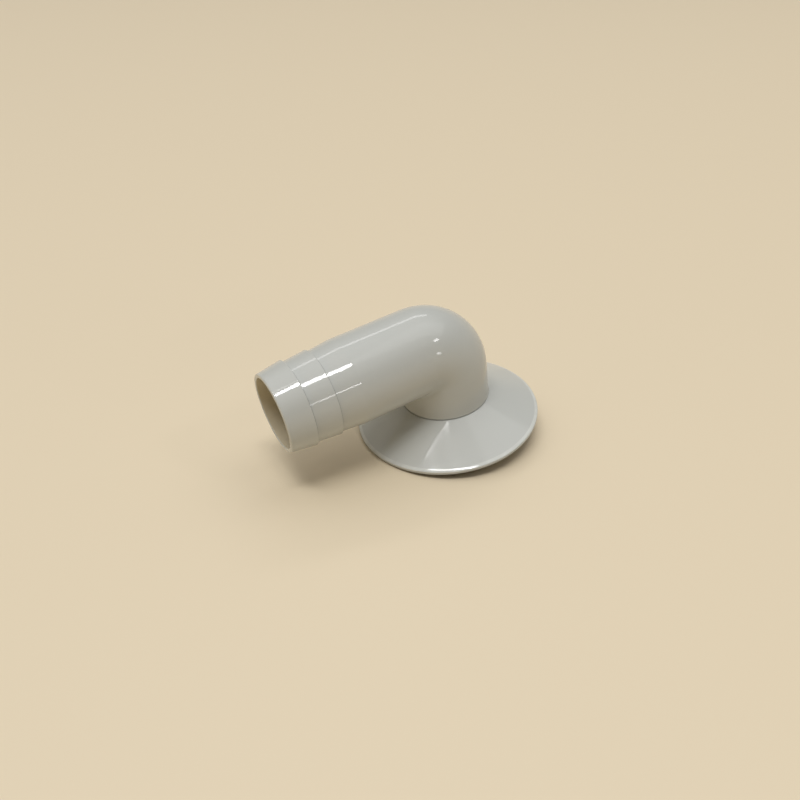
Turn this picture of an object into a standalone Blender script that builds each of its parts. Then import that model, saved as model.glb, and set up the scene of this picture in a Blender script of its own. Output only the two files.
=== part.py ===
# Swivel hose elbow on a conical flange.
#
# A barbed tail for a soft hose turns through a tight right-angle bend into a short upright stub.
# The stub's spigot drops through a collar in the flange, where a rubber ring seals it and a split
# ring keeps it in, so the tail can be pointed any way round. The spigot's end reaches below the rim
# into the panel's hole, and a second rubber ring under the rim seals the flange against the panel.
#
# Metres, +Z up. The spigot's end is on z = 0, and the tail points along -X.

import math

import bmesh
import bpy

MM = 0.001

# Hose tail, measured from the mouth and from the upright axis of the stub. The hose sets the
# tube's radius, and the other round sizes follow from it.
TAIL_REACH = 54.6 * MM           # stub axis to the mouth
TAIL_HEIGHT = 27.85 * MM         # tail axis above the rim's underside
TUBE_RADIUS = 13.1 * MM          # plain tube behind the barbs
MOUTH_STEP = 1.1 * MM            # mouth inside the tube's radius
RIDGE_STEP = 0.15 * MM           # both ridges inside it
FIRST_VALLEY_STEP = 0.9 * MM     # foot of the second barb inside it
SECOND_VALLEY_STEP = 0.8 * MM    # foot of the last cone, which ends flush with the tube
RIDGE_PITCH = 7.65 * MM          # mouth to the first ridge, then to the second and to the tube
MOUTH_ROUNDING = 0.4 * MM        # outer edge of the lip

# Bend and stub
BEND_RADIUS = 8.7 * MM           # centre line of the bend, tighter than the tube is wide
STUB_DRAFT = 0.5 * MM            # widening through the bend
FLARE_REACH = 0.45 * MM          # foot outside the stub, where it sits on the flange
FLARE_HEIGHT = 0.9 * MM          # hollow curve from the foot into the stub
FOOT_EDGE = 0.25 * MM            # upright edge under the flare

# Walls round the bore, which opens a little towards both ends so that the cores can be drawn
LIP_WALL = 1.4 * MM
BEND_WALL = 2.8 * MM
SPIGOT_WALL = 2.2 * MM
BORE_ROUNDING = 0.3 * MM         # inner edge of the lip

# Spigot through the flange
SPIGOT_STEP = 0.7 * MM           # spigot inside the stub's radius
SPIGOT_REACH = 2.4 * MM          # spigot below the rim's underside, in the panel's hole
SPIGOT_CHAMFER = 0.6 * MM
RUNNING_GAP = 0.25 * MM          # between the turning and the fixed pieces

# Retaining ring
RING_HEIGHT = 2.25 * MM          # its groove above the rim's underside
RING_THICKNESS = 1.4 * MM
RING_REACH = 1.9 * MM            # ring outside the spigot, under the collar
RING_GROOVE_DEPTH = 1.1 * MM
RING_GAP = 0.2 * MM              # round the ring in its groove
RING_SPLIT = math.radians(24.0)

# Rubber ring on the spigot
O_RING_SECTION = 1.2 * MM
O_RING_GAP = 0.15 * MM           # to the groove's floor and to the collar
O_RING_GROOVE_WIDTH = 1.8 * MM

# Flange
FLANGE_RADIUS = 28.5 * MM
FLANGE_WALL = 1.8 * MM
FOOT_HEIGHT = 8.35 * MM          # land that carries the stub, above the rim's underside
LAND_MARGIN = 0.2 * MM           # land outside the stub's foot
RIM_HEIGHT = 1.6 * MM
RIM_ROUNDING = 0.7 * MM
RIM_EDGE_ROUNDING = 0.25 * MM
RIM_WIDTH = 4.2 * MM             # flat foot under the rim
COLLAR_WALL = 1.7 * MM

# Face seal in the rim's foot
SEAL_WIDTH = 1.5 * MM
SEAL_GROOVE_DEPTH = 0.9 * MM
SEAL_GAP = 0.25 * MM             # round the seal in its groove
SEAL_PROUD = 0.3 * MM            # seal below the rim's underside
SEAL_CHAMFER = 0.2 * MM

# Facets
TUBE_STEPS = 48
BEND_STEPS = 12
FLANGE_STEPS = 64
EDGE_STEPS = 3
SECTION_STEPS = 10
SHARP_ANGLE = math.radians(28.0)

# Radii that follow from the tube's
MOUTH_RADIUS = TUBE_RADIUS - MOUTH_STEP
RIDGE_RADIUS = TUBE_RADIUS - RIDGE_STEP
FIRST_VALLEY_RADIUS = TUBE_RADIUS - FIRST_VALLEY_STEP
SECOND_VALLEY_RADIUS = TUBE_RADIUS - SECOND_VALLEY_STEP
STUB_RADIUS = TUBE_RADIUS + STUB_DRAFT
FOOT_RADIUS = STUB_RADIUS + FLARE_REACH
LAND_RADIUS = FOOT_RADIUS + LAND_MARGIN
SPIGOT_RADIUS = STUB_RADIUS - SPIGOT_STEP
RING_OUTER_RADIUS = SPIGOT_RADIUS + RING_REACH
MOUTH_BORE_RADIUS = MOUTH_RADIUS - LIP_WALL
BEND_BORE_RADIUS = TUBE_RADIUS - BEND_WALL
SPIGOT_BORE_RADIUS = SPIGOT_RADIUS - SPIGOT_WALL

# Places that follow from the sizes above
AXIS_X = (TAIL_REACH - FLANGE_RADIUS) / 2.0
RIM_UNDERSIDE = SPIGOT_REACH
TAIL_AXIS = RIM_UNDERSIDE + TAIL_HEIGHT
LAND_TOP = RIM_UNDERSIDE + FOOT_HEIGHT
STUB_SEAT = LAND_TOP + RUNNING_GAP
COLLAR_BORE = SPIGOT_RADIUS + RUNNING_GAP
COLLAR_RADIUS = COLLAR_BORE + COLLAR_WALL
RING_GROOVE_LOW = RIM_UNDERSIDE + RING_HEIGHT
RING_LOW = RING_GROOVE_LOW + RING_GAP
RING_HIGH = RING_LOW + RING_THICKNESS
RING_GROOVE_HIGH = RING_HIGH + RING_GAP
RING_GROOVE_FLOOR = SPIGOT_RADIUS - RING_GROOVE_DEPTH
COLLAR_END = RING_HIGH + RUNNING_GAP
O_RING_CENTRE = (COLLAR_END + LAND_TOP) / 2.0
O_RING_GROOVE_FLOOR = COLLAR_BORE - O_RING_SECTION - 2.0 * O_RING_GAP
SEAL_MIDDLE = FLANGE_RADIUS - RIM_WIDTH / 2.0
SEAL_LOW = RIM_UNDERSIDE - SEAL_PROUD

GREY_PLASTIC = (0.50, 0.51, 0.485, 1.0)
IVORY_PLASTIC = (0.80, 0.78, 0.70, 1.0)
BLACK_RUBBER = (0.022, 0.022, 0.024, 1.0)


def clear_scene():
    for item in list(bpy.data.objects):
        bpy.data.objects.remove(item, do_unlink=True)


def plain_material(name, colour, roughness):
    material = bpy.data.materials.new(name)
    material.use_nodes = True
    shader = material.node_tree.nodes["Principled BSDF"]
    shader.inputs["Base Color"].default_value = colour
    shader.inputs["Roughness"].default_value = roughness
    shader.inputs["Metallic"].default_value = 0.0
    return material


def arc(centre, radius, start, end, steps):
    """Points on a circular arc, both ends included; angles in radians from the first axis."""
    points = []
    for step in range(steps + 1):
        angle = start + (end - start) * step / steps
        points.append((centre[0] + radius * math.cos(angle), centre[1] + radius * math.sin(angle)))
    return points


def finish_piece(name, bm, material, parent):
    """Turn the mesh into a smooth-shaded object at its parent's place."""
    bmesh.ops.recalc_face_normals(bm, faces=bm.faces)
    mesh = bpy.data.meshes.new(name)
    bm.to_mesh(mesh)
    bm.free()
    mesh.materials.append(material)
    mesh.shade_smooth()
    mesh.set_sharp_from_angle(angle=SHARP_ANGLE)
    piece = bpy.data.objects.new(name, mesh)
    bpy.context.collection.objects.link(piece)
    piece.parent = parent
    return piece


def turned_piece(name, outline, material, parent, steps, first=0.0, split=0.0):
    """Spin a closed (radius, height) outline about Z; a split leaves a gap with flat ends."""
    bm = bmesh.new()
    verts = []
    for radius, height in outline:
        verts.append(bm.verts.new((radius * math.cos(first), radius * math.sin(first), height)))
    edges = []
    for index, vert in enumerate(verts):
        edges.append(bm.edges.new((vert, verts[(index + 1) % len(verts)])))
    bmesh.ops.spin(bm, geom=verts + edges, cent=(0.0, 0.0, 0.0), axis=(0.0, 0.0, 1.0),
                   angle=2.0 * math.pi - split, steps=steps, use_merge=not split)
    if split:
        bmesh.ops.holes_fill(bm, edges=[edge for edge in bm.edges if edge.is_boundary])
    return finish_piece(name, bm, material, parent)


def ring_angles():
    """Half a step puts flats, not corners, at the top, the bottom and where the part leans."""
    return [2.0 * math.pi * (step + 0.5) / TUBE_STEPS for step in range(TUBE_STEPS)]


def round_ring(bm, centre, outward, radius):
    """Circle of points round the path; outward is its unit direction in the XZ plane."""
    ring = []
    for angle in ring_angles():
        reach = radius * math.sin(angle)
        ring.append(bm.verts.new((centre[0] + reach * outward[0],
                                  radius * math.cos(angle),
                                  centre[1] + reach * outward[1])))
    return ring


def tail_ring(bm, from_mouth, radius):
    return round_ring(bm, (from_mouth - TAIL_REACH, TAIL_AXIS), (0.0, 1.0), radius)


def stub_ring(bm, height, radius):
    return round_ring(bm, (0.0, height), (1.0, 0.0), radius)


def bend_rings(bm, tail_radius, stub_radius):
    """Rings through the bend, from the tail to the stub.

    The tube is wider than its bend, so on the inside of the corner the rings would cross. There
    the tail and the stub meet in one crease instead, and every ring shares the crease's points.
    """
    crease = {}
    for index, angle in enumerate(ring_angles()):
        if BEND_RADIUS + max(tail_radius, stub_radius) * math.sin(angle) <= 0.0:
            side = (tail_radius + stub_radius) / 2.0 * math.cos(angle)
            crease[index] = bm.verts.new((stub_radius * math.sin(angle), side,
                                          TAIL_AXIS + tail_radius * math.sin(angle)))
    rings = []
    for step in range(BEND_STEPS + 1):
        turn = math.pi / 2.0 * step / BEND_STEPS
        radius = tail_radius + (stub_radius - tail_radius) * step / BEND_STEPS
        outward = (math.sin(turn), math.cos(turn))
        centre = (BEND_RADIUS * (outward[0] - 1.0), TAIL_AXIS + BEND_RADIUS * (outward[1] - 1.0))
        ring = round_ring(bm, centre, outward, radius)
        for index, shared in crease.items():
            bm.verts.remove(ring[index])
            ring[index] = shared
        rings.append(ring)
    return rings


def tail_outline():
    """Outside of the tail from the mouth's flat end to the plain tube, as (from mouth, radius)."""
    lip = arc((MOUTH_ROUNDING, MOUTH_RADIUS - MOUTH_ROUNDING), MOUTH_ROUNDING,
              math.pi, math.pi / 2.0, EDGE_STEPS)
    return lip + [
        (RIDGE_PITCH, RIDGE_RADIUS),
        (RIDGE_PITCH, FIRST_VALLEY_RADIUS),
        (2.0 * RIDGE_PITCH, RIDGE_RADIUS),
        (2.0 * RIDGE_PITCH, SECOND_VALLEY_RADIUS),
        (3.0 * RIDGE_PITCH, TUBE_RADIUS),
    ]


def bore_lip():
    """Inner edge of the mouth, from the bore to the flat end, as (from mouth, radius)."""
    return arc((BORE_ROUNDING, MOUTH_BORE_RADIUS + BORE_ROUNDING), BORE_ROUNDING,
               -math.pi / 2.0, -math.pi, EDGE_STEPS)


def stub_outline():
    """Outside of the stub, foot and spigot from the bend down to the tip, as (height, radius)."""
    flare_top = STUB_SEAT + FOOT_EDGE + FLARE_HEIGHT
    flare = []
    for step in range(EDGE_STEPS + 1):
        turn = math.pi / 2.0 * step / EDGE_STEPS
        flare.append((flare_top - FLARE_HEIGHT * math.sin(turn),
                      FOOT_RADIUS - FLARE_REACH * math.cos(turn)))
    groove_half = O_RING_GROOVE_WIDTH / 2.0
    return flare + [
        (STUB_SEAT, FOOT_RADIUS),
        (STUB_SEAT, SPIGOT_RADIUS),
        (O_RING_CENTRE + groove_half, SPIGOT_RADIUS),
        (O_RING_CENTRE + groove_half, O_RING_GROOVE_FLOOR),
        (O_RING_CENTRE - groove_half, O_RING_GROOVE_FLOOR),
        (O_RING_CENTRE - groove_half, SPIGOT_RADIUS),
        (RING_GROOVE_HIGH, SPIGOT_RADIUS),
        (RING_GROOVE_HIGH, RING_GROOVE_FLOOR),
        (RING_GROOVE_LOW, RING_GROOVE_FLOOR),
        (RING_GROOVE_LOW, SPIGOT_RADIUS),
        (SPIGOT_CHAMFER, SPIGOT_RADIUS),
        (0.0, SPIGOT_RADIUS - SPIGOT_CHAMFER),
    ]


def join_rings(bm, rings):
    """Skin a closed run of rings; faces that shrink to a line in the crease are left out."""
    for ring, following in zip(rings, rings[1:] + rings[:1]):
        for index in range(TUBE_STEPS):
            beside = (index + 1) % TUBE_STEPS
            corners = [ring[index], ring[beside], following[beside], following[index]]
            corners = list(dict.fromkeys(corners))
            if len(corners) > 2:
                bm.faces.new(corners)


def make_elbow(material, parent):
    """Tail, bend, stub and spigot: the outside from mouth to tip, then the bore back to the mouth."""
    bm = bmesh.new()
    rings = [tail_ring(bm, *station) for station in tail_outline()]
    rings += bend_rings(bm, TUBE_RADIUS, STUB_RADIUS)
    rings += [stub_ring(bm, *station) for station in stub_outline()]
    rings.append(stub_ring(bm, 0.0, SPIGOT_BORE_RADIUS))
    rings += reversed(bend_rings(bm, BEND_BORE_RADIUS, BEND_BORE_RADIUS))
    rings += [tail_ring(bm, *station) for station in bore_lip()]
    join_rings(bm, rings)
    return finish_piece("elbow", bm, material, parent)


def cone_slope():
    """Angle of the cone's top, drawn from the land's edge to touch the rim's rounding."""
    run = FLANGE_RADIUS - RIM_ROUNDING - LAND_RADIUS
    drop = FOOT_HEIGHT - RIM_HEIGHT + RIM_ROUNDING
    return math.atan2(drop, run) - math.asin(RIM_ROUNDING / math.hypot(run, drop))


def make_flange(material, parent):
    """Conical shell with a rounded rim, a grooved foot under the rim and a collar in the middle."""
    slope = cone_slope()
    rim_top = RIM_UNDERSIDE + RIM_HEIGHT
    rim_inner = FLANGE_RADIUS - RIM_WIDTH

    def underside(radius):
        return LAND_TOP - (radius - LAND_RADIUS) * math.tan(slope) - FLANGE_WALL / math.cos(slope)

    groove_outer = SEAL_MIDDLE + SEAL_WIDTH / 2.0 + SEAL_GAP
    groove_inner = SEAL_MIDDLE - SEAL_WIDTH / 2.0 - SEAL_GAP
    groove_top = RIM_UNDERSIDE + SEAL_GROOVE_DEPTH
    outline = [(COLLAR_BORE, LAND_TOP), (LAND_RADIUS, LAND_TOP)]
    outline += arc((FLANGE_RADIUS - RIM_ROUNDING, rim_top - RIM_ROUNDING), RIM_ROUNDING,
                   math.pi / 2.0 - slope, 0.0, EDGE_STEPS)
    outline += arc((FLANGE_RADIUS - RIM_EDGE_ROUNDING, RIM_UNDERSIDE + RIM_EDGE_ROUNDING),
                   RIM_EDGE_ROUNDING, 0.0, -math.pi / 2.0, EDGE_STEPS)
    outline += [
        (groove_outer, RIM_UNDERSIDE),
        (groove_outer, groove_top),
        (groove_inner, groove_top),
        (groove_inner, RIM_UNDERSIDE),
        (rim_inner, RIM_UNDERSIDE),
        (rim_inner, underside(rim_inner)),
        (COLLAR_RADIUS, underside(COLLAR_RADIUS)),
        (COLLAR_RADIUS, COLLAR_END),
        (COLLAR_BORE, COLLAR_END),
    ]
    return turned_piece("cone_flange", outline, material, parent, FLANGE_STEPS)


def make_o_ring(material, parent):
    middle = (COLLAR_BORE + O_RING_GROOVE_FLOOR) / 2.0
    section = arc((middle, O_RING_CENTRE), O_RING_SECTION / 2.0, 0.0, 2.0 * math.pi, SECTION_STEPS)
    return turned_piece("spigot_o_ring", section[:-1], material, parent, TUBE_STEPS)


def make_retaining_ring(material, parent):
    inner = RING_GROOVE_FLOOR + RING_GAP
    outline = [
        (inner, RING_HIGH),
        (RING_OUTER_RADIUS, RING_HIGH),
        (RING_OUTER_RADIUS, RING_LOW),
        (inner, RING_LOW),
    ]
    return turned_piece("retaining_ring", outline, material, parent, TUBE_STEPS,
                        math.pi + RING_SPLIT / 2.0, RING_SPLIT)


def make_face_seal(material, parent):
    """Ring in the rim's groove, turned by half a step so that the part leans on one of its flats."""
    inner = SEAL_MIDDLE - SEAL_WIDTH / 2.0
    outer = SEAL_MIDDLE + SEAL_WIDTH / 2.0
    top = RIM_UNDERSIDE + SEAL_GROOVE_DEPTH - SEAL_GAP
    outline = [
        (inner, top),
        (outer, top),
        (outer, SEAL_LOW + SEAL_CHAMFER),
        (outer - SEAL_CHAMFER, SEAL_LOW),
        (inner + SEAL_CHAMFER, SEAL_LOW),
        (inner, SEAL_LOW + SEAL_CHAMFER),
    ]
    return turned_piece("face_seal", outline, material, parent, FLANGE_STEPS, math.pi / FLANGE_STEPS)


def make_axis(name, parent=None):
    """Empty that carries pieces; its Z is the upright axis that the elbow turns on."""
    axis = bpy.data.objects.new(name, None)
    bpy.context.collection.objects.link(axis)
    axis.parent = parent
    return axis


def main():
    clear_scene()
    flange_axis = make_axis("flange_axis")
    flange_axis.location = (AXIS_X, 0.0, 0.0)
    swivel_axis = make_axis("swivel_axis", flange_axis)

    make_flange(plain_material("flange_plastic", GREY_PLASTIC, 0.22), flange_axis)
    make_face_seal(plain_material("seal_rubber", BLACK_RUBBER, 0.75), flange_axis)
    make_elbow(plain_material("elbow_plastic", GREY_PLASTIC, 0.22), swivel_axis)
    make_o_ring(plain_material("o_ring_rubber", BLACK_RUBBER, 0.6), swivel_axis)
    make_retaining_ring(plain_material("ring_plastic", IVORY_PLASTIC, 0.45), swivel_axis)
    bpy.context.view_layer.update()


main()
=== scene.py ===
import math

import bpy
import numpy as np
from mathutils import Matrix, Vector


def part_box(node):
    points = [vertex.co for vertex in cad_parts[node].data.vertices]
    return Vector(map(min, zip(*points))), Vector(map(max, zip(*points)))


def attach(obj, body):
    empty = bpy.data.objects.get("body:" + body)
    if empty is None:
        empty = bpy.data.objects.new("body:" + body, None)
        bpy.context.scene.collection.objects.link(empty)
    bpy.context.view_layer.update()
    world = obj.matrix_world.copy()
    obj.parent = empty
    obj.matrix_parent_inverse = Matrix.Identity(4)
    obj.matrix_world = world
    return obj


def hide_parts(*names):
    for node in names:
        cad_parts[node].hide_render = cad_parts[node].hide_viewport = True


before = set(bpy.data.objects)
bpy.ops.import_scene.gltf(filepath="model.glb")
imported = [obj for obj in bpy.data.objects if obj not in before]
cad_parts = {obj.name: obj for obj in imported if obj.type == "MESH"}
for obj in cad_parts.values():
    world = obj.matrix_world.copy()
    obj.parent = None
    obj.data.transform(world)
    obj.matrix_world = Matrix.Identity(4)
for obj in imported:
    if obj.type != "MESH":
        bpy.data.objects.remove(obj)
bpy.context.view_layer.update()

mm = 0.001

# The flange is turned about the upright axis, so its box gives the axis that all pieces share
flangeLow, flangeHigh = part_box("cone_flange")
axisX = (flangeLow.x + flangeHigh.x) / 2.0
print("frame loaded, upright axis at x = %.2f mm" % (axisX / mm))


# Rounds the inner corners of an open path given as rows of (along, out, radius, wear) in mm. Each corner
# becomes an arc that starts radius * tan(turn / 2) before it; a point just off each end of the arc keeps
# the legs straight under smooth shading. The second result is each point's wear, full on the arcs; on the
# rim and the ridges it is also a painted highlight, and below zero it is painted shade.
def roundCorners(corners, steps=6, hold=0.015):
    corners = np.asarray(corners, float)
    path, radius, wearAndLight = corners[:, :2], corners[1:-1, 2], corners[1:-1, 3]
    legs = np.diff(path, axis=0)
    legs /= np.linalg.norm(legs, axis=1, keepdims=True)
    into, out = legs[:-1], legs[1:]
    cosTurn = np.clip((into * out).sum(axis=1), -1.0, 1.0)
    turn = np.arccos(cosTurn)
    side = out - into * cosTurn[:, None]
    side /= np.linalg.norm(side, axis=1, keepdims=True)
    reach = (radius * np.tan(turn / 2.0))[:, None]
    first, last = path[1:-1] - into * reach, path[1:-1] + out * reach
    angle = turn[:, None] * np.linspace(0.0, 1.0, steps + 1)
    arc = first[:, None] + radius[:, None, None] * (np.sin(angle)[..., None] * into[:, None]
                                                    + (1.0 - np.cos(angle))[..., None] * side[:, None])
    before, after = (first - into * hold)[:, None], (last + out * hold)[:, None]
    rounded = np.concatenate([before, arc, after], axis=1)
    wornAndLit = np.repeat(wearAndLight[:, None], steps + 3, axis=1)
    wornAndLit[:, [0, -1]] = 0.0
    points = np.concatenate([path[:1], rounded.reshape(-1, 2), path[-1:]])
    return points, np.concatenate([[0.0], wornAndLit.ravel(), [0.0]])


# A closed loop is an open path that starts and ends halfway along its last leg
def roundLoop(corners, steps):
    corners = np.asarray(corners, float)
    middle = (corners[:1] + corners[-1:]) / 2.0
    points, wearAndLight = roundCorners(np.concatenate([middle, corners, middle]), steps)
    return points[:-1], wearAndLight[:-1]


# Turns (radius, height) points about the upright axis: x = axis + r cos a, y = r sin a, z = h
def turnGrid(points, steps):
    angle = np.linspace(0.0, 2.0 * np.pi, steps, endpoint=False)
    radius, height = points[:, :1], points[:, 1:]
    ring = np.broadcast_arrays(radius * np.cos(angle), radius * np.sin(angle), height)
    return np.stack(ring, axis=-1) * mm + [axisX, 0.0, 0.0]


# Stores one value for each point of a mesh
def storeValues(mesh, name, values):
    mesh.attributes.new(name, "FLOAT", "POINT").data.foreach_set("value", values.astype(np.float32))


# Skins a grid of points whose rows close into a loop. Columns close too, unless two poles are given: then
# a fan of triangles runs from the first column to the first pole and from the last column to the second.
# A negative volume means inside out, and turns the faces round. Wear with its painted highlight and shade,
# and the painted bounce light, have one value for each row.
def gridPiece(name, grid, wearAndLight, material, body, node, poles=(), paintedBounce=None):
    rows, cols = grid.shape[:2]
    i, j = np.meshgrid(np.arange(rows), np.arange(cols - 1 if len(poles) else cols), indexing="ij")
    row, nextRow, nextCol = i * cols, (i + 1) % rows * cols, (j + 1) % cols
    quads = np.stack([row + j, row + nextCol, nextRow + nextCol, nextRow + j], axis=-1).reshape(-1, 4)
    points = grid.reshape(-1, 3)
    a, b, c, d = (points[quads[:, k]] - points.mean(axis=0) for k in range(4))
    volume = (np.cross(a, b) * c).sum() + (np.cross(a, c) * d).sum()
    faces, wornAndLit = quads.tolist(), np.repeat(wearAndLight, cols)
    if len(poles):
        low, high = np.arange(rows) * cols, np.roll(np.arange(rows), -1) * cols
        faces += np.stack([low, high, np.full(rows, rows * cols)], axis=1).tolist()
        faces += np.stack([high + cols - 1, low + cols - 1, np.full(rows, rows * cols + 1)], axis=1).tolist()
        points, wornAndLit = np.concatenate([points, poles]), np.concatenate([wornAndLit, [0.0, 0.0]])
    if volume < 0.0:
        faces = [face[::-1] for face in faces]
    mesh = bpy.data.meshes.new(name)
    mesh.from_pydata(points.tolist(), [], faces)
    storeValues(mesh, "edgeWearAndPaintedLight", wornAndLit)
    if paintedBounce is not None:
        storeValues(mesh, "borePaintedBounce", np.repeat(paintedBounce, cols))
    mesh.shade_smooth()
    mesh.materials.append(material)
    piece = bpy.data.objects.new(name, mesh)
    bpy.context.collection.objects.link(piece)
    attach(piece, body)
    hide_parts(node)
    print("%s: %d points, %.0f mm3" % (name, len(points), abs(volume) / 6.0 / mm ** 3))


# A node with its settings, and with its input values by name or number
def addNode(tree, kind, values=None, **settings):
    node = tree.nodes.new(kind)
    for key, value in settings.items():
        setattr(node, key, value)
    for key, value in (values or {}).items():
        node.inputs[key].default_value = value
    return node


# The result of an operation on two values, each of them a socket or a number
def addMath(tree, operation, first, second, clamp=False):
    node = addNode(tree, "ShaderNodeMath", operation=operation, use_clamp=clamp)
    for socket, value in zip(node.inputs, (first, second)):
        if isinstance(value, bpy.types.NodeSocket):
            tree.links.new(value, socket)
        else:
            socket.default_value = value
    return node.outputs[0]


# base + value * gain
def addScaled(tree, base, value, gain, clamp=False):
    return addMath(tree, "ADD", base, addMath(tree, "MULTIPLY", value, gain), clamp)


# Where noise usually lies, and the range it is read as
noiseSpan = {"From Min": 0.25, "From Max": 0.75, "To Min": -1.0, "To Max": 1.0}


# Noise over Object coordinates, stretched by a Mapping scale, read as -1 to 1 about its usual middle
def addNoise(tree, scale, detail, stretch=(1.0, 1.0, 1.0), warp=0.0):
    place = addNode(tree, "ShaderNodeTexCoord")
    mapping = addNode(tree, "ShaderNodeMapping", {"Scale": stretch})
    noise = addNode(tree, "ShaderNodeTexNoise", {"Scale": scale, "Detail": detail, "Distortion": warp})
    tree.links.new(place.outputs["Object"], mapping.inputs["Vector"])
    tree.links.new(mapping.outputs["Vector"], noise.inputs["Vector"])
    spread = addNode(tree, "ShaderNodeMapRange", noiseSpan)
    tree.links.new(noise.outputs[0], spread.inputs["Value"])
    return spread.outputs["Result"]


# A skin is a shader group that puts out a colour, a roughness and a height. Returns its tree, the sockets
# that give its inputs and the sockets that take its outputs.
def newSkin(name, inputs):
    tree = bpy.data.node_groups.new(name, "ShaderNodeTree")
    for way, labels in (("INPUT", inputs), ("OUTPUT", ("Colour", "Roughness", "Height"))):
        for label in labels:
            kind = "NodeSocketColor" if label == "Colour" else "NodeSocketFloat"
            tree.interface.new_socket(name=label, in_out=way, socket_type=kind)
    return tree, tree.nodes.new("NodeGroupInput").outputs, tree.nodes.new("NodeGroupOutput").inputs


moulding = dict(
    clouds=dict(scale=75.0, detail=3.0), cloudShare=0.7,
    flow=dict(scale=260.0, detail=4.0, stretch=(0.35, 1.0, 1.0), warp=0.8), flowShare=0.3,
    smears=dict(scale=420.0, detail=5.0, stretch=(1.0, 0.6, 1.0), warp=1.5),
    scratches=dict(scale=900.0, detail=2.0, stretch=(0.25, 3.0, 3.0), warp=0.3), scratchLevel=0.93,
    ripple=dict(scale=190.0, detail=1.0), grain=dict(scale=5200.0, detail=2.0),
    # the paler worn edge is also the painted highlight on the rim and ridges; the corner darkening is painted
    # shade; the beige mix colour is painted bounce light in a bore
    rubMiddle=0.5, rubSpread=0.35, wornAndHighlightPaler=0.5, wornDuller=0.04, paintedShadeDarker=0.35,
    paintedBounceColour=(0.64, 0.57, 0.42, 1.0))


# Skin of a moulding. Tone drifts in soft clouds; handling leaves faint smears and hairlines in the gloss;
# worn edges are paler and a little duller, and on the rim and ridges that paler edge is a painted highlight;
# concave corners get painted shade; a bore is tinted beige with painted warm bounce light from the floor;
# height is a slow ripple from the tool with a fine grain on it.
def makeMouldedSkin(m):
    tree, given, result = newSkin("mouldedSkin", ("Colour", "Drift", "Gloss", "Smear", "Hairlines", "Grain"))
    clouds, flow, smears, scratches, ripple, grain = (
        addNoise(tree, **m[key]) for key in ("clouds", "flow", "smears", "scratches", "ripple", "grain"))
    edge = addNode(tree, "ShaderNodeAttribute", attribute_name="edgeWearAndPaintedLight").outputs["Fac"]
    wornAndLit = addMath(tree, "MAXIMUM", edge, 0.0)
    # below zero the edge value is painted shade, in the concave corners at the barbs' steps and the stub's
    # foot
    paintedShade = addMath(tree, "MINIMUM", edge, 0.0)
    rubbedAndLit = addMath(tree, "MULTIPLY", wornAndLit, addScaled(tree, m["rubMiddle"], flow, m["rubSpread"]))
    tone = addScaled(tree, addMath(tree, "MULTIPLY", clouds, m["cloudShare"]), flow, m["flowShare"])
    tone = addScaled(tree, 1.0, tone, given["Drift"])
    # paler worn edges; on the rim and the ridges this paints their highlight
    tone = addScaled(tree, tone, rubbedAndLit, m["wornAndHighlightPaler"])
    # painted shade: darker in the concave corners
    tone = addScaled(tree, tone, paintedShade, m["paintedShadeDarker"])
    shaded = addNode(tree, "ShaderNodeVectorMath", operation="SCALE")
    tree.links.new(given["Colour"], shaded.inputs[0])
    tree.links.new(tone, shaded.inputs["Scale"])
    # painted warm bounce light: the bore's colour is mixed towards beige
    paintedBounce = addNode(tree, "ShaderNodeAttribute", attribute_name="borePaintedBounce").outputs["Fac"]
    bounceTinted = addNode(tree, "ShaderNodeMix", {7: m["paintedBounceColour"]}, data_type="RGBA")    # mixes sockets 6 and 7
    tree.links.new(paintedBounce, bounceTinted.inputs[0])
    tree.links.new(shaded.outputs[0], bounceTinted.inputs[6])
    tree.links.new(bounceTinted.outputs[2], result["Colour"])
    scratched = addMath(tree, "GREATER_THAN", scratches, m["scratchLevel"])
    dull = addScaled(tree, given["Gloss"], smears, given["Smear"])
    dull = addScaled(tree, dull, scratched, given["Hairlines"])
    dull = addScaled(tree, dull, rubbedAndLit, m["wornDuller"], clamp=True)
    tree.links.new(dull, result["Roughness"])
    tree.links.new(addScaled(tree, ripple, grain, given["Grain"]), result["Height"])
    return tree


rubber = dict(
    patches=dict(scale=320.0, detail=5.0, warp=0.7), pebble=dict(scale=3600.0, detail=3.0),
    bloomLift=0.6, patchDuller=0.08)


# Skin of a rubber ring: pale bloom settles in patches, and a fine pebble breaks the surface
def makeRubberSkin(r):
    tree, given, result = newSkin("rubberSkin", ("Colour", "Bloom", "Gloss"))
    patches, pebble = addNoise(tree, **r["patches"]), addNoise(tree, **r["pebble"])
    lifted = addMath(tree, "ADD", patches, r["bloomLift"], clamp=True)
    pale = addMath(tree, "MULTIPLY", lifted, given["Bloom"])
    dusted = addNode(tree, "ShaderNodeVectorMath", operation="ADD")
    tree.links.new(given["Colour"], dusted.inputs[0])
    tree.links.new(pale, dusted.inputs[1])
    tree.links.new(dusted.outputs[0], result["Colour"])
    dull = addScaled(tree, given["Gloss"], patches, r["patchDuller"], clamp=True)
    tree.links.new(dull, result["Roughness"])
    tree.links.new(pebble, result["Height"])
    return tree


# A finish is one skin with its own values, feeding colour, roughness and a bump of a few microns
def makeFinish(name, f):
    material = bpy.data.materials.new(name)
    material.use_nodes = True
    tree = material.node_tree
    shader = tree.nodes["Principled BSDF"]
    shader.inputs["IOR"].default_value = f["ior"]
    skin = addNode(tree, "ShaderNodeGroup", f["values"], node_tree=f["skin"])
    relief = addNode(tree, "ShaderNodeBump", {"Strength": f["bump"], "Distance": f["depth"] * mm})
    tree.links.new(skin.outputs["Height"], relief.inputs["Height"])
    tree.links.new(relief.outputs["Normal"], shader.inputs["Normal"])
    tree.links.new(skin.outputs["Colour"], shader.inputs["Base Color"])
    tree.links.new(skin.outputs["Roughness"], shader.inputs["Roughness"])
    return material


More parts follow.
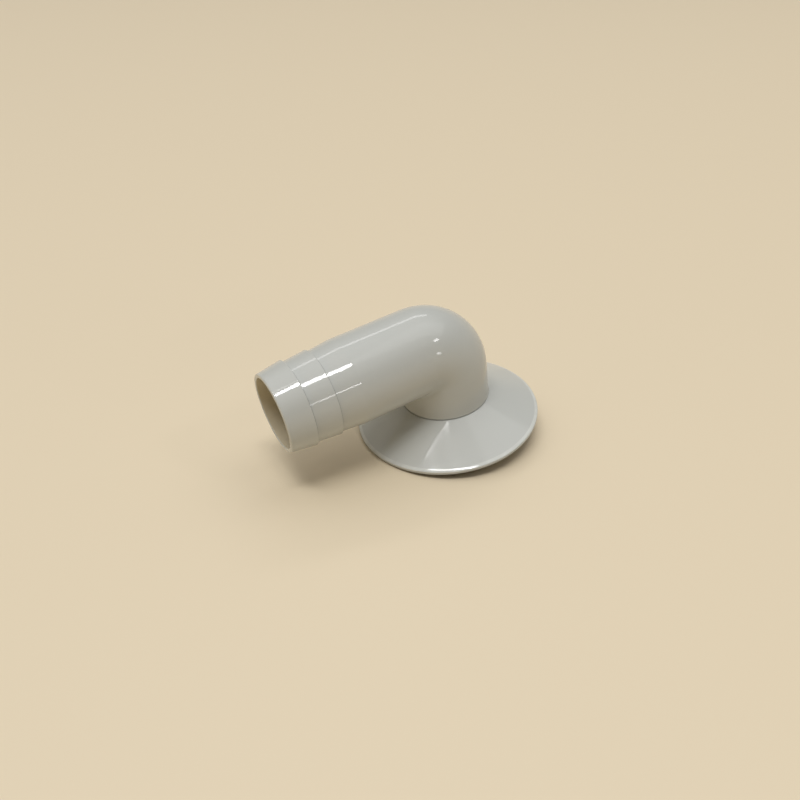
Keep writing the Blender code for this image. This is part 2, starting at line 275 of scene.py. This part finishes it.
mouldedSkin = makeMouldedSkin(moulding)
rubberSkin = makeRubberSkin(rubber)
glossyPlastic = dict(
    skin=mouldedSkin, bump=0.12, depth=0.02, ior=1.49,
    values={"Colour": (0.50, 0.51, 0.485, 1.0), "Drift": 0.012, "Gloss": 0.07, "Smear": 0.02,
            "Hairlines": 0.04, "Grain": 0.02})
satinPlastic = dict(
    skin=mouldedSkin, bump=0.2, depth=0.02, ior=1.48,
    values={"Colour": (0.78, 0.76, 0.68, 1.0), "Drift": 0.02, "Gloss": 0.42, "Smear": 0.05,
            "Hairlines": 0.05, "Grain": 0.2})
mattRubber = dict(
    skin=rubberSkin, bump=0.35, depth=0.02, ior=1.5,
    values={"Colour": (0.022, 0.022, 0.024, 1.0), "Bloom": 0.02, "Gloss": 0.62})
greasedRubber = dict(
    skin=rubberSkin, bump=0.2, depth=0.02, ior=1.5,
    values={"Colour": (0.020, 0.020, 0.022, 1.0), "Bloom": 0.004, "Gloss": 0.34})
elbowPlastic = makeFinish("elbowPlastic", glossyPlastic)
flangePlastic = makeFinish("flangePlastic", glossyPlastic)
ringPlastic = makeFinish("ringPlastic", satinPlastic)
sealRubber = makeFinish("sealRubber", mattRubber)
oRingRubber = makeFinish("oRingRubber", greasedRubber)
print("finishes made")


# Elbow: barbed tail, tight bend, stub, foot and spigot in one moulding
elbow = dict(
    reach=54.6, axisHeight=30.25,                      # stub axis to mouth; tail axis above the spigot's end
    mouth=11.8, lipRound=0.4, pitch=7.65, ridgeRound=0.1, stepRound=0.25,
    ridge=12.95, firstValley=12.2, secondValley=12.3, tube=13.1, tubeRound=2.0,
    bend=8.7, creaseRound=0.9, stub=13.6,
    seat=11.0, foot=13.7, footEdge=0.25, flareHeight=0.3, footRound=0.1,
    spigot=12.9, tip=0.0, chamfer=0.6, edgeRound=0.06,
    oRingGroove=(7.725, 9.525, 11.65), ringGroove=(4.65, 6.45, 11.8),   # low, high, floor radius
    mouthBore=10.6, boreRound=0.3, bendBore=10.3, spigotBore=10.7, boreCrease=0.7,
    lead=1.0, mouthTaper=0.01, spigotTaper=0.02,       # first stretch of tube and bores; how bores narrow
    # ridge wear also paints a highlight on the ridges; the negative values at the steps and the foot paint
    # shade into those corners
    lipWear=0.1, ridgeWearAndHighlight=0.15, stepPaintedShade=-1.0, footPaintedShade=-0.4, tipWear=0.1, boreWear=0.05,
    paintedBounceInLip=4,                                       # rows of the lip that the bore's painted bounce light covers
    tubeWall=14, stubWall=5, stubBoreWall=6, tailBoreWall=16,           # rows along each straight wall
    steps=192, bendSteps=40, flareSteps=8, spigotSteps=4)


# Larger of two values with the corner between them eased over a width
def easedMax(value, floor, width):
    return (value + floor + np.sqrt((value - floor) ** 2 + width ** 2)) / 2.0


# Rings run along the outside from mouth to spigot tip, and back through the bore to the mouth
def makeElbow(e):
    angle = np.linspace(0.0, 2.0 * np.pi, e["steps"], endpoint=False)
    side, up = np.cos(angle), np.sin(angle)

    # ring across the tail: x = along - reach, y = r cos a, z = axis height + r sin a
    def tailRows(points):
        along, radius = points[:, :1], points[:, 1:]
        ring = np.broadcast_arrays(along - e["reach"], radius * side, e["axisHeight"] + radius * up)
        return np.stack(ring, axis=-1)

    # ring across the stub: x = r sin a, y = r cos a, z = height
    def stubRows(points):
        height, radius = points[:, :1], points[:, 1:]
        return np.stack(np.broadcast_arrays(radius * up, radius * side, height), axis=-1)

    # through the bend each point runs an arc from its line on the tail to its line on the stub. The arc's
    # radius is bend + r sin a; on the inside that falls below zero, and the crease's rounding takes over.
    def bendRows(tailRadius, stubRadius, crease):
        turn = np.linspace(0.0, np.pi / 2.0, e["bendSteps"] + 1)[:, None]
        radius = tailRadius + (stubRadius - tailRadius) * turn / (np.pi / 2.0)
        arc = easedMax(e["bend"] + radius * up, crease, crease)
        x = stubRadius * up - arc[-1] + arc * np.sin(turn)
        z = e["axisHeight"] + tailRadius * up - arc[0] + arc * np.cos(turn)
        return np.stack(np.broadcast_arrays(x, radius * side, z), axis=-1)

    # straight rows between two rings, so that long walls have faces of a fair shape
    def wallRows(first, last, count):
        share = np.linspace(0.0, 1.0, count + 2)[1:-1, None, None]
        return first + (last - first) * share

    pitch, edge = e["pitch"], e["edgeRound"]
    lipMiddle = (e["mouth"] + e["mouthBore"]) / 2.0
    tail, tailWearAndLight = roundCorners([
        (0.0, lipMiddle, 0, 0),
        (0.0, e["mouth"], e["lipRound"], e["lipWear"]),
        (pitch, e["ridge"], e["ridgeRound"], e["ridgeWearAndHighlight"]),
        (pitch, e["firstValley"], e["stepRound"], e["stepPaintedShade"]),
        (2.0 * pitch, e["ridge"], e["ridgeRound"], e["ridgeWearAndHighlight"]),
        (2.0 * pitch, e["secondValley"], e["stepRound"], e["stepPaintedShade"]),
        (3.0 * pitch, e["tube"], e["tubeRound"], 0),
        (3.0 * pitch + e["lead"], e["tube"], 0, 0)])
    turn = np.linspace(0.0, np.pi / 2.0, e["flareSteps"] + 1)[:-1, None]
    footTop = e["seat"] + e["footEdge"]
    flare = np.concatenate([footTop + e["flareHeight"] - e["flareHeight"] * np.sin(turn),
                            e["foot"] - (e["foot"] - e["stub"]) * np.cos(turn)], axis=1)
    grooves = [(height, radius, edge, 0) for low, high, floor in (e["oRingGroove"], e["ringGroove"])
               for height, radius in ((high, e["spigot"]), (high, floor), (low, floor), (low, e["spigot"]))]
    spigot, spigotWearAndLight = roundCorners([
        (*flare[-1], 0, 0),
        (footTop, e["foot"], e["footRound"], e["footPaintedShade"]),
        (e["seat"], e["foot"], e["footRound"], e["footPaintedShade"]),
        (e["seat"], e["spigot"], edge, 0),
        *grooves,
        (e["tip"] + e["chamfer"], e["spigot"], edge, e["tipWear"]),
        (e["tip"], e["spigot"] - e["chamfer"], edge, e["tipWear"]),
        (e["tip"], e["spigotBore"], edge, e["boreWear"]),
        (e["tip"] + e["lead"], e["spigotBore"] - e["spigotTaper"], 0, 0)], steps=e["spigotSteps"])
    lip, lipWear = roundCorners([
        (e["lead"], e["mouthBore"] - e["mouthTaper"], 0, 0),
        (0.0, e["mouthBore"], e["boreRound"], e["lipWear"]),
        (0.0, lipMiddle, 0, 0)])
    tail, flare, spigot, lip = tailRows(tail), stubRows(flare), stubRows(spigot), tailRows(lip)
    outer = bendRows(e["tube"], e["stub"], e["creaseRound"])
    bore = bendRows(e["bendBore"], e["bendBore"], e["boreCrease"])[::-1]
    runs = dict(
        tail=tail, tube=wallRows(tail[-1], outer[0], e["tubeWall"]), bend=outer,
        stub=wallRows(outer[-1], flare[0], e["stubWall"]), flare=flare, spigot=spigot[1:],
        stubBore=wallRows(spigot[-1], bore[0], e["stubBoreWall"]), bendBore=bore,
        tailBore=wallRows(bore[-1], lip[0], e["tailBoreWall"]), lip=lip[:-1])
    grid = np.concatenate(list(runs.values())) * mm + [axisX, 0.0, 0.0]
    start = dict(zip(runs, np.cumsum([0] + [len(run) for run in runs.values()])))
    wearAndLight, paintedBounce = np.zeros(len(grid)), np.zeros(len(grid))
    wearAndLight[:start["tube"]] = tailWearAndLight
    wearAndLight[start["spigot"]:start["stubBore"]] = spigotWearAndLight[1:]
    wearAndLight[start["lip"]:] = lipWear[:-1]
    # the bore and the inside of the lip get the painted warm bounce light
    paintedBounce[start["stubBore"]:start["lip"] + e["paintedBounceInLip"]] = 1.0
    gridPiece("hoseElbow", grid, wearAndLight, elbowPlastic, "turning_elbow", "elbow", paintedBounce=paintedBounce)


makeElbow(elbow)


# Flange: shallow conical shell with a rounded rim, a grooved foot and a collar for the spigot
flange = dict(
    radius=28.5, wall=1.8, underside=2.4, landTop=10.75, landRadius=13.9, landRound=0.2,
    easeRadius=27.95, easeHeight=3.70, easeRound=8.0,
    rimCorner=3.35, rimRound=0.35, rimEdge=0.25, rimWidth=4.2, rimRoot=0.25,
    grooveInner=25.4, grooveOuter=27.4, grooveTop=3.3, grooveRound=0.12,
    collarBore=13.15, collarRadius=14.85, collarEnd=6.5, collarRound=0.15, collarRoot=0.5,
    # the rim's wear also paints the bright highlight line along the rim
    rimWearAndHighlight=0.7, edgeWearAndPaintedLight=0.3, underWear=0.05, cornerSteps=8, steps=288)


def makeFlange(f):
    # the cone runs straight from the land's edge and droops a little in a wide arc just before the rim
    slope = math.atan2(f["landTop"] - f["easeHeight"], f["easeRadius"] - f["landRadius"])
    rimInner = f["radius"] - f["rimWidth"]

    # the shell's underside lies one wall below the cone, measured square to it
    def shellUnder(radius):
        return f["landTop"] - (radius - f["landRadius"]) * math.tan(slope) - f["wall"] / math.cos(slope)

    points, wearAndLight = roundLoop([
        (f["collarBore"], f["landTop"], f["collarRound"], 0),
        (f["landRadius"], f["landTop"], f["landRound"], 0),
        (f["easeRadius"], f["easeHeight"], f["easeRound"], f["rimWearAndHighlight"]),
        (f["radius"], f["rimCorner"], f["rimRound"], f["rimWearAndHighlight"]),
        (f["radius"], f["underside"], f["rimEdge"], f["edgeWearAndPaintedLight"]),
        (f["grooveOuter"], f["underside"], f["grooveRound"], f["underWear"]),
        (f["grooveOuter"], f["grooveTop"], f["grooveRound"], 0),
        (f["grooveInner"], f["grooveTop"], f["grooveRound"], 0),
        (f["grooveInner"], f["underside"], f["grooveRound"], f["underWear"]),
        (rimInner, f["underside"], f["collarRound"], f["underWear"]),
        (rimInner, shellUnder(rimInner), f["rimRoot"], 0),
        (f["collarRadius"], shellUnder(f["collarRadius"]), f["collarRoot"], 0),
        (f["collarRadius"], f["collarEnd"], f["collarRound"], f["underWear"]),
        (f["collarBore"], f["collarEnd"], f["collarRound"], f["underWear"])], f["cornerSteps"])
    gridPiece("conicalFlange", turnGrid(points, f["steps"]), wearAndLight, flangePlastic,
              "flange", "cone_flange")


makeFlange(flange)


# Face seal: rubber ring in the rim's groove, standing proud of it
faceSeal = dict(inner=25.65, outer=27.15, top=3.05, low=2.1, chamfer=0.2, cornerRound=0.12, cornerSteps=4,
                steps=256)


# A square section with its lower corners cut, turned about the upright axis
def makeFaceSeal(s):
    low, cut, bend = s["low"], s["chamfer"], s["cornerRound"]
    points, wearAndLight = roundLoop([
        (s["inner"], s["top"], bend, 0), (s["outer"], s["top"], bend, 0),
        (s["outer"], low + cut, bend, 0), (s["outer"] - cut, low, bend, 0),
        (s["inner"] + cut, low, bend, 0), (s["inner"], low + cut, bend, 0)], s["cornerSteps"])
    gridPiece("faceSeal", turnGrid(points, s["steps"]), wearAndLight, sealRubber,
              "flange", "face_seal")


makeFaceSeal(faceSeal)


# Spigot ring: rubber ring of round section in the spigot's upper groove
spigotRing = dict(middle=12.4, centre=8.625, section=1.2, sectionSteps=24, steps=160)


# r = middle + half cos t, z = centre + half sin t, turned about the upright axis
def makeSpigotRing(s):
    t = np.linspace(0.0, 2.0 * np.pi, s["sectionSteps"], endpoint=False)
    half = s["section"] / 2.0
    points = np.stack([s["middle"] + half * np.cos(t), s["centre"] + half * np.sin(t)], axis=1)
    gridPiece("spigotRing", turnGrid(points, s["steps"]), np.zeros(len(points)), oRingRubber,
              "turning_elbow", "spigot_o_ring")


makeSpigotRing(spigotRing)


# Retaining ring: square section swept round the spigot's lower groove, open for the split
retainer = dict(inner=12.0, outer=14.8, low=4.85, high=6.25, split=24.0, cornerRound=0.15, endRound=0.3,
                wearAndLight=0.1, cornerSteps=5, endSteps=5, steps=144)


def makeRetainer(k):
    # towards each end the section shrinks by a quarter circle's inset, and a pole in its middle closes it
    bend, wornAndLit = k["cornerRound"], k["wearAndLight"]
    points, wearAndLight = roundLoop([
        (k["inner"], k["high"], bend, wornAndLit), (k["outer"], k["high"], bend, wornAndLit),
        (k["outer"], k["low"], bend, wornAndLit), (k["inner"], k["low"], bend, wornAndLit)], k["cornerSteps"])
    middle = np.array([(k["inner"] + k["outer"]) / 2.0, (k["low"] + k["high"]) / 2.0])
    halfSize = np.array([k["outer"] - k["inner"], k["high"] - k["low"]]) / 2.0
    turn = np.linspace(0.0, np.pi / 2.0, k["endSteps"] + 1)
    inset = k["endRound"] * (1.0 - np.sin(turn))
    setback = k["endRound"] * (1.0 - np.cos(turn)) / middle[0]
    first = math.pi + math.radians(k["split"]) / 2.0
    last = 3.0 * math.pi - math.radians(k["split"]) / 2.0
    sweep = np.linspace(first + setback[-1], last - setback[-1], k["steps"])
    angle = np.concatenate([first + setback, sweep[1:-1], last - setback[::-1]])
    inset = np.concatenate([inset, np.zeros(k["steps"] - 2), inset[::-1]])
    ring = middle + (points[:, None] - middle) * (1.0 - inset[:, None] / halfSize)

    # x = axis + r cos a, y = r sin a, z = h, with an angle for each section
    def place(section, turned):
        radius, height = section[..., 0], section[..., 1]
        x, y = radius * np.cos(turned) + axisX / mm, radius * np.sin(turned)
        return np.stack(np.broadcast_arrays(x, y, height), axis=-1) * mm

    gridPiece("retainingRing", place(ring, angle), wearAndLight, ringPlastic,
              "turning_elbow", "retaining_ring", poles=place(middle, np.array([first, last])))


makeRetainer(retainer)


# Camera: fitted to the outlines of rim, foot, ridges, mouth and bend. Angles are in degrees, the distance
# and the target's height in mm, focal length and target in pixels of the image.
viewpoint = dict(azimuth=-24.60, elevation=37.75, roll=-8.88, distance=255.83, focal=800.0,
                 target=(447.3, 413.08), targetHeight=2.4, image=800.0, sensor=36.0, clipStart=10.0)


def makeCamera(v):
    # back looks from the flange's middle to the camera; right and up are rolled about it. The camera stands
    # off by the distance, and aside by the target's pixel offset times distance over focal length.
    azimuth, elevation, roll = (math.radians(v[key]) for key in ("azimuth", "elevation", "roll"))
    flat = Vector((math.cos(azimuth), math.sin(azimuth), 0.0))
    back = Vector((math.sin(azimuth) * math.cos(elevation), -math.cos(azimuth) * math.cos(elevation),
                   math.sin(elevation)))
    raised = back.cross(flat)
    right = math.cos(roll) * flat + math.sin(roll) * raised
    up = math.cos(roll) * raised - math.sin(roll) * flat
    perPixel = v["distance"] * mm / v["focal"]
    aside, above = ((pixel - v["image"] / 2.0) * perPixel for pixel in v["target"])
    target = Vector((axisX, 0.0, v["targetHeight"] * mm))
    place = target + back * v["distance"] * mm - right * aside + up * above
    data = bpy.data.cameras.new("photoCamera")
    data.sensor_width = v["sensor"]
    data.lens = v["sensor"] * v["focal"] / v["image"]
    data.clip_start = v["clipStart"] * mm
    camera = bpy.data.objects.new("photoCamera", data)
    turned = Matrix((right, up, back)).transposed().to_4x4()
    camera.matrix_world = Matrix.Translation(place) @ turned
    bpy.context.collection.objects.link(camera)
    bpy.context.scene.camera = camera
    print("camera at", [round(c / mm, 1) for c in place], "mm")


makeCamera(viewpoint)


# Floor: plain and pale, with its size in metres
paleFloor = dict(size=3.0, colour=(0.71, 0.605, 0.44, 1.0), roughness=0.6)


def makeFloor(f):
    # set down loose, the part leans on the tail side of its face seal and the near edge of the spigot's end,
    # so the floor slopes through both: slope = seal's rise / distance between them
    tipEdge = axisX - (elbow["spigot"] - elbow["chamfer"]) * mm
    sealEdge = axisX - (faceSeal["outer"] - faceSeal["chamfer"]) * mm
    slope = faceSeal["low"] * mm / (tipEdge - sealEdge)
    half = f["size"] / 2.0
    around = ((-half, -half), (half, -half), (half, half), (-half, half))
    mesh = bpy.data.meshes.new("floor")
    mesh.from_pydata([(x, y, (tipEdge - x) * slope) for x, y in around], [], [(0, 1, 2, 3)])
    material = bpy.data.materials.new("floorPaint")
    material.use_nodes = True
    shader = material.node_tree.nodes["Principled BSDF"]
    shader.inputs["Base Color"].default_value = f["colour"]
    shader.inputs["Roughness"].default_value = f["roughness"]
    mesh.materials.append(material)
    floor = bpy.data.objects.new("floor", mesh)
    bpy.context.collection.objects.link(floor)
    print("floor slopes by %.1f degrees" % math.degrees(math.atan(slope)))


makeFloor(paleFloor)


# Skies: each runs through (height, colour) stops from the horizon to overhead, and white is 1
skies = dict(
    lighting=((0.0, (0.10, 0.08, 0.045)), (0.5, (0.13, 0.115, 0.085)), (1.0, (1.08, 1.08, 1.08))),
    seen=((0.0, (0.55, 0.475, 0.35)), (0.1, (0.45, 0.39, 0.30)), (0.25, (0.20, 0.18, 0.15)),
          (0.5, (0.16, 0.15, 0.13)), (1.0, (1.08, 1.08, 1.08))),
    side=(0.4, 0.8, 0.0))


def makeSky(s):
    # the sky that lights the part has a strength of 1 + direction . side, so that it is brighter on one side;
    # the one seen, straight, through or in the gloss, is pale at the horizon like the floor
    world = bpy.data.worlds.new("softSky")
    world.use_nodes = True
    tree = world.node_tree
    place = addNode(tree, "ShaderNodeTexCoord")
    split = addNode(tree, "ShaderNodeSeparateXYZ")
    tree.links.new(place.outputs["Generated"], split.inputs[0])

    # a ramp over the direction's height; new stops start halfway and then move to their places
    def addSky(colours):
        ramp = addNode(tree, "ShaderNodeValToRGB")
        stops = ramp.color_ramp.elements
        while len(stops) < len(colours):
            stops.new(0.5)
        for stop, (height, colour) in zip(stops, colours):
            stop.position = height
            stop.color = (*colour, 1.0)
        sky = addNode(tree, "ShaderNodeBackground")
        tree.links.new(split.outputs["Z"], ramp.inputs["Fac"])
        tree.links.new(ramp.outputs["Color"], sky.inputs["Color"])
        return sky

    side = addNode(tree, "ShaderNodeVectorMath", {1: s["side"]}, operation="DOT_PRODUCT")
    tree.links.new(place.outputs["Generated"], side.inputs[0])
    lighting, seen = addSky(s["lighting"]), addSky(s["seen"])
    tree.links.new(addMath(tree, "ADD", side.outputs["Value"], 1.0), lighting.inputs["Strength"])
    path = addNode(tree, "ShaderNodeLightPath").outputs
    looked = addMath(tree, "MAXIMUM", path["Is Camera Ray"], path["Is Transmission Ray"])
    mixed = addNode(tree, "ShaderNodeMixShader")
    tree.links.new(addMath(tree, "MAXIMUM", looked, path["Is Glossy Ray"]), mixed.inputs[0])
    tree.links.new(lighting.outputs[0], mixed.inputs[1])
    tree.links.new(seen.outputs[0], mixed.inputs[2])
    tree.links.new(mixed.outputs[0], tree.nodes["World Output"].inputs["Surface"])
    bpy.context.scene.world = world


makeSky(skies)


# Soft boxes: all stand at one distance in metres. A box's spread is the angle that it fills in each
# direction, the first along its long way, and its glow counts white as 1.
boxDistance = 5.0
softBoxes = [
    dict(name="overheadBox", toward=(0.009, -0.257, 0.967), longWay=(0.704, -0.686, -0.183),
         spread=(0.31, 0.105), glow=26.0),
    dict(name="overheadEnd", toward=(-0.198, -0.072, 0.978), longWay=(0.704, -0.686, -0.183),
         spread=(0.26, 0.080), glow=19.0),
    dict(name="overheadStrip", toward=(-0.144, 0.0285, 0.99), longWay=(0.836, -0.549, 0.0),
         spread=(0.30, 0.016), glow=9.0),
    dict(name="frontStrip", toward=(0.115, -0.933, 0.340), longWay=(1.0, 0.0, 0.0),
         spread=(0.18, 0.033), glow=13.0),
    dict(name="rightBox", toward=(0.516, -0.613, 0.60), longWay=(0.8, 0.6, 0.0),
         spread=(0.12, 0.10), glow=11.0),
    dict(name="lowBox", toward=(0.435, -0.885, 0.165), longWay=(0.9, 0.44, 0.0),
         spread=(0.07, 0.10), glow=7.0),
    dict(name="backStrip", toward=(0.345, 0.575, 0.74), longWay=(1.0, 0.0, 0.0),
         spread=(0.60, 0.10), glow=2.8),
    dict(name="sideBox", toward=(0.55, -0.15, 0.80), longWay=(0.3, 0.9, 0.0),
         spread=(0.60, 0.60), glow=0.6),
    dict(name="bounceCard", toward=(-0.97, -0.15, 0.16), longWay=(0.0, 1.0, 0.0),
         spread=(0.80, 0.30), glow=1.4, colour=(1.0, 0.72, 0.36)),
]


# A lamp faces the middle with its long way square to that direction; its power is glow * pi * area
def makeLamp(box):
    away = Vector(box["toward"]).normalized()
    along = Vector(box["longWay"])
    along = (along - away * along.dot(away)).normalized()
    data = bpy.data.lights.new(box["name"], "AREA")
    data.shape = "RECTANGLE"
    data.size, data.size_y = (spread * boxDistance for spread in box["spread"])
    data.energy = box["glow"] * math.pi * data.size * data.size_y
    data.color = box.get("colour", (1.0, 1.0, 1.0))
    lamp = bpy.data.objects.new(box["name"], data)
    turned = Matrix((along, away.cross(along), away)).transposed().to_4x4()
    lamp.matrix_world = Matrix.Translation(away * boxDistance) @ turned
    bpy.context.collection.objects.link(lamp)


for box in softBoxes:
    makeLamp(box)
bpy.context.scene.view_settings.view_transform = "Standard"
print("studio lit by", len(softBoxes), "soft boxes")
